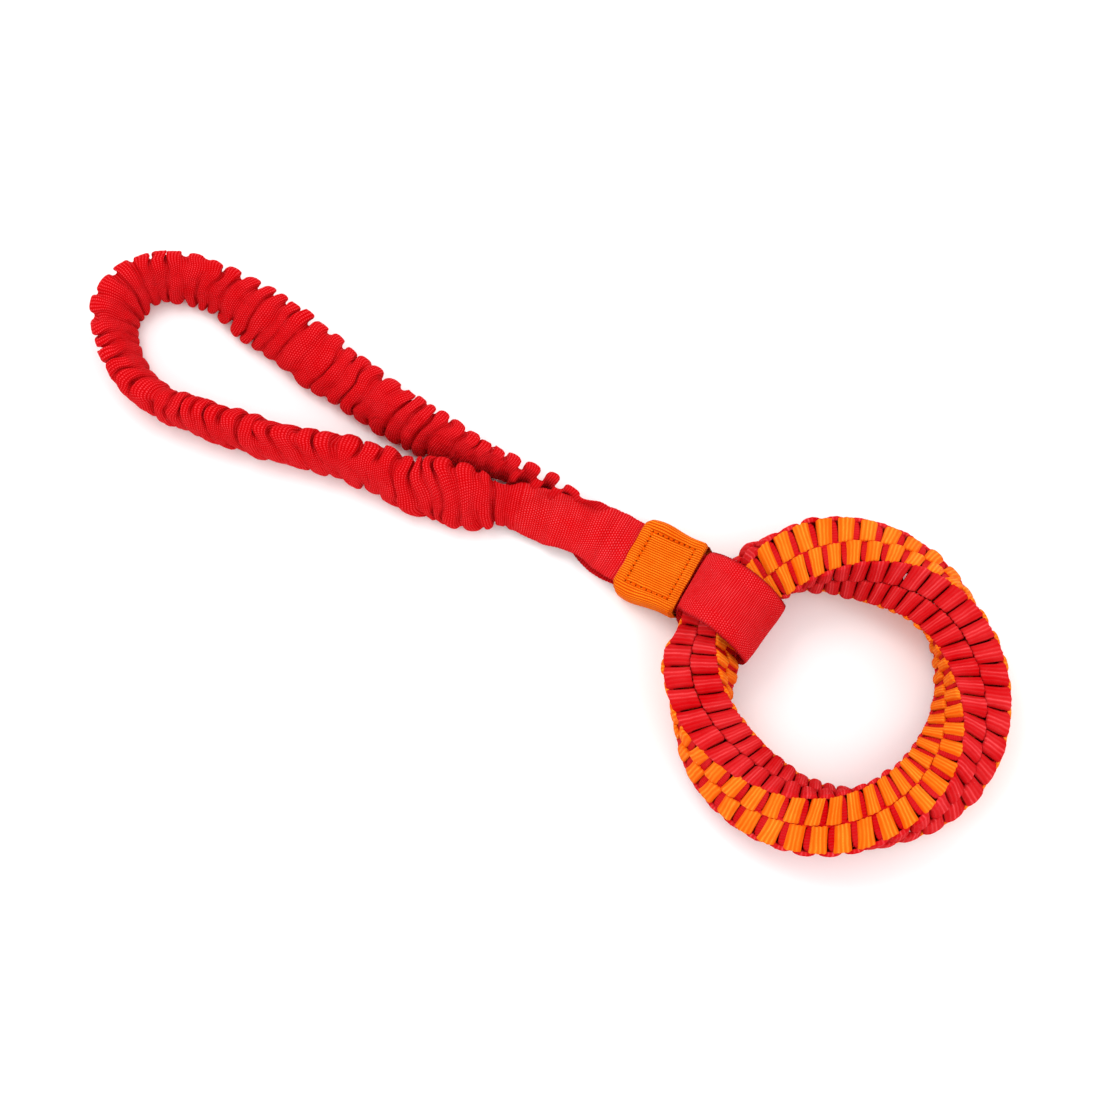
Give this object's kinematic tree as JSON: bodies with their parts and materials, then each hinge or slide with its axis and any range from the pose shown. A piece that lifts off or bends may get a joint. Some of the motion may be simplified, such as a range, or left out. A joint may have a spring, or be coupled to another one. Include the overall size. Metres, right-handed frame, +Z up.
{
  "type": "braided ring bungee tug toy",
  "caption": "Dog training tug: a braided orange and red webbing ring held in a red sling with a box-stitched keeper and a gathered elastic hand loop.",
  "frame": {"origin": "middle of the footprint, on the surface the toy lies on", "axes": "+X along the keeper from the hand loop to the ring, +Z up, +Y to the left of +X"},
  "size_m": [0.4332, 0.1458, 0.0385],
  "materials": {
    "red_tubular_webbing": "matt woven tubular webbing, gathered",
    "red_strap_webbing": "matt plain-weave strap",
    "orange_webbing": "ribbed webbing, slight sheen",
    "orange_braid_webbing": "ribbed narrow webbing, slight sheen",
    "red_braid_webbing": "ribbed narrow webbing, slight sheen",
    "orange_thread": "sewing thread",
    "elastic_cord": "covered elastic cord, hidden in the sleeve"
  },
  "bodies": {
    "junction": {"keeper_wrap": "orange_webbing", "keeper_stitch_top": "orange_thread", "keeper_stitch_bottom": "orange_thread", "lead_front": "red_tubular_webbing", "lead_back": "red_tubular_webbing", "sling": "red_strap_webbing"},
    "ring": {"braid_orange_a": "orange_braid_webbing", "braid_orange_b": "orange_braid_webbing", "braid_red_a": "red_braid_webbing", "braid_red_b": "red_braid_webbing"},
    "handle": {"sleeve_back_leg": "red_tubular_webbing", "sleeve_front_leg": "red_tubular_webbing", "elastic_back_leg": "elastic_cord", "elastic_front_leg": "elastic_cord"},
    "grip": {"sleeve_bend": "red_tubular_webbing", "elastic_bend": "elastic_cord"}
  },
  "joints": [
    {"name": "ring_swing", "type": "hinge", "parent": "junction", "child": "ring", "pos_m": [0.08777, 0.00685, 0.0192], "axis": [-0.1219, -0.9925, 0], "range_deg": [0, 90]},
    {"name": "handle_fold", "type": "hinge", "parent": "junction", "child": "handle", "pos_m": [0.01375, 0.01098, 0.0065], "axis": [0, 1, 0], "range_deg": [0, 90], "deforming": ["lead_front", "lead_back"]},
    {"name": "handle_stretch", "type": "slide", "parent": "handle", "child": "grip", "axis": [-1, 0, 0], "range_m": [0, 0.12], "stiffness_N_per_m": 250, "deforming": ["sleeve_back_leg", "sleeve_front_leg", "elastic_back_leg", "elastic_front_leg"]}
  ]
}
